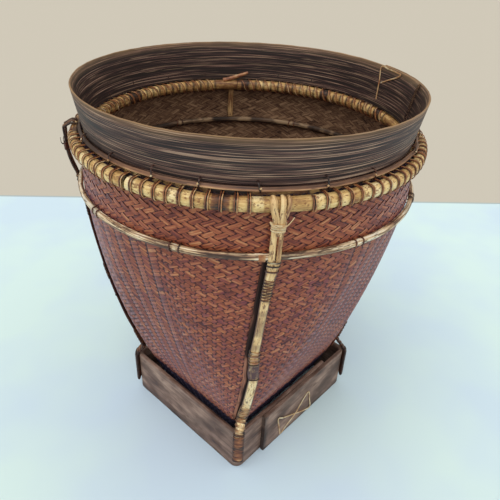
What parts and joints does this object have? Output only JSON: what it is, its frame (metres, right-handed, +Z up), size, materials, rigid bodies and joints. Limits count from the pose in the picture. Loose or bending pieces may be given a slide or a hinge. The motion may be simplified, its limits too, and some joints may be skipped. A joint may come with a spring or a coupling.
{
  "type": "bamboo basket",
  "caption": "Tall woven bamboo basket, round at the mouth and square at the foot, with lashed rim hoops, corner ribs, a thin flared collar and a bent wooden foot.",
  "frame": {"origin": "on the plane the foot stands on, under the centre of the round mouth", "axes": "+Z up, -Y the front face of the foot, +X the right face, which carries the lap and its lacing"},
  "size_m": [0.3144, 0.3144, 0.38],
  "materials": {
    "woven_bamboo": "twilled strips, oiled and reddish brown",
    "pale_bamboo": "split bamboo, smooth and straw coloured",
    "dark_bamboo": "split bamboo, dark with age",
    "inner_bamboo": "split bamboo, grey brown and dull",
    "collar_wood": "thin bent sheet, dark brown and satin",
    "strip_bamboo": "thin strip, reddish tan",
    "foot_wood": "bent band, grey brown and worn",
    "cane_strand": "thin flat strand, light brown"
  },
  "bodies": {
    "root": {"woven_body": "woven_bamboo", "front_rim_lashing": "cane_strand", "right_rim_lashing": "cane_strand", "back_rim_lashing": "cane_strand", "left_rim_lashing": "cane_strand", "outer_rim_hoop": "pale_bamboo", "inner_rim_hoop": "pale_bamboo", "outer_lower_hoop": "pale_bamboo", "inner_lower_hoop": "inner_bamboo", "collar": "collar_wood", "collar_strip": "strip_bamboo", "collar_lacing": "cane_strand", "foot_band": "foot_wood", "foot_lacing": "cane_strand", "front_right_stave": "dark_bamboo", "front_right_cane": "pale_bamboo", "front_right_foot_binding": "cane_strand", "front_right_ankle_binding": "cane_strand", "front_right_knee_binding": "cane_strand", "front_right_waist_binding": "cane_strand", "front_right_knot": "cane_strand", "front_right_strut": "pale_bamboo", "back_right_stave": "dark_bamboo", "back_right_cane": "pale_bamboo", "back_right_foot_binding": "cane_strand", "back_right_ankle_binding": "cane_strand", "back_right_knee_binding": "cane_strand", "back_right_waist_binding": "cane_strand", "back_right_knot": "cane_strand", "back_right_strut": "pale_bamboo", "back_left_stave": "dark_bamboo", "back_left_cane": "pale_bamboo", "back_left_foot_binding": "cane_strand", "back_left_ankle_binding": "cane_strand", "back_left_knee_binding": "cane_strand", "back_left_waist_binding": "cane_strand", "back_left_knot": "cane_strand", "back_left_strut": "pale_bamboo", "front_left_stave": "dark_bamboo", "front_left_cane": "pale_bamboo", "front_left_foot_binding": "cane_strand", "front_left_ankle_binding": "cane_strand", "front_left_knee_binding": "cane_strand", "front_left_waist_binding": "cane_strand", "front_left_knot": "cane_strand", "front_left_strut": "pale_bamboo"}
  },
  "joints": []
}
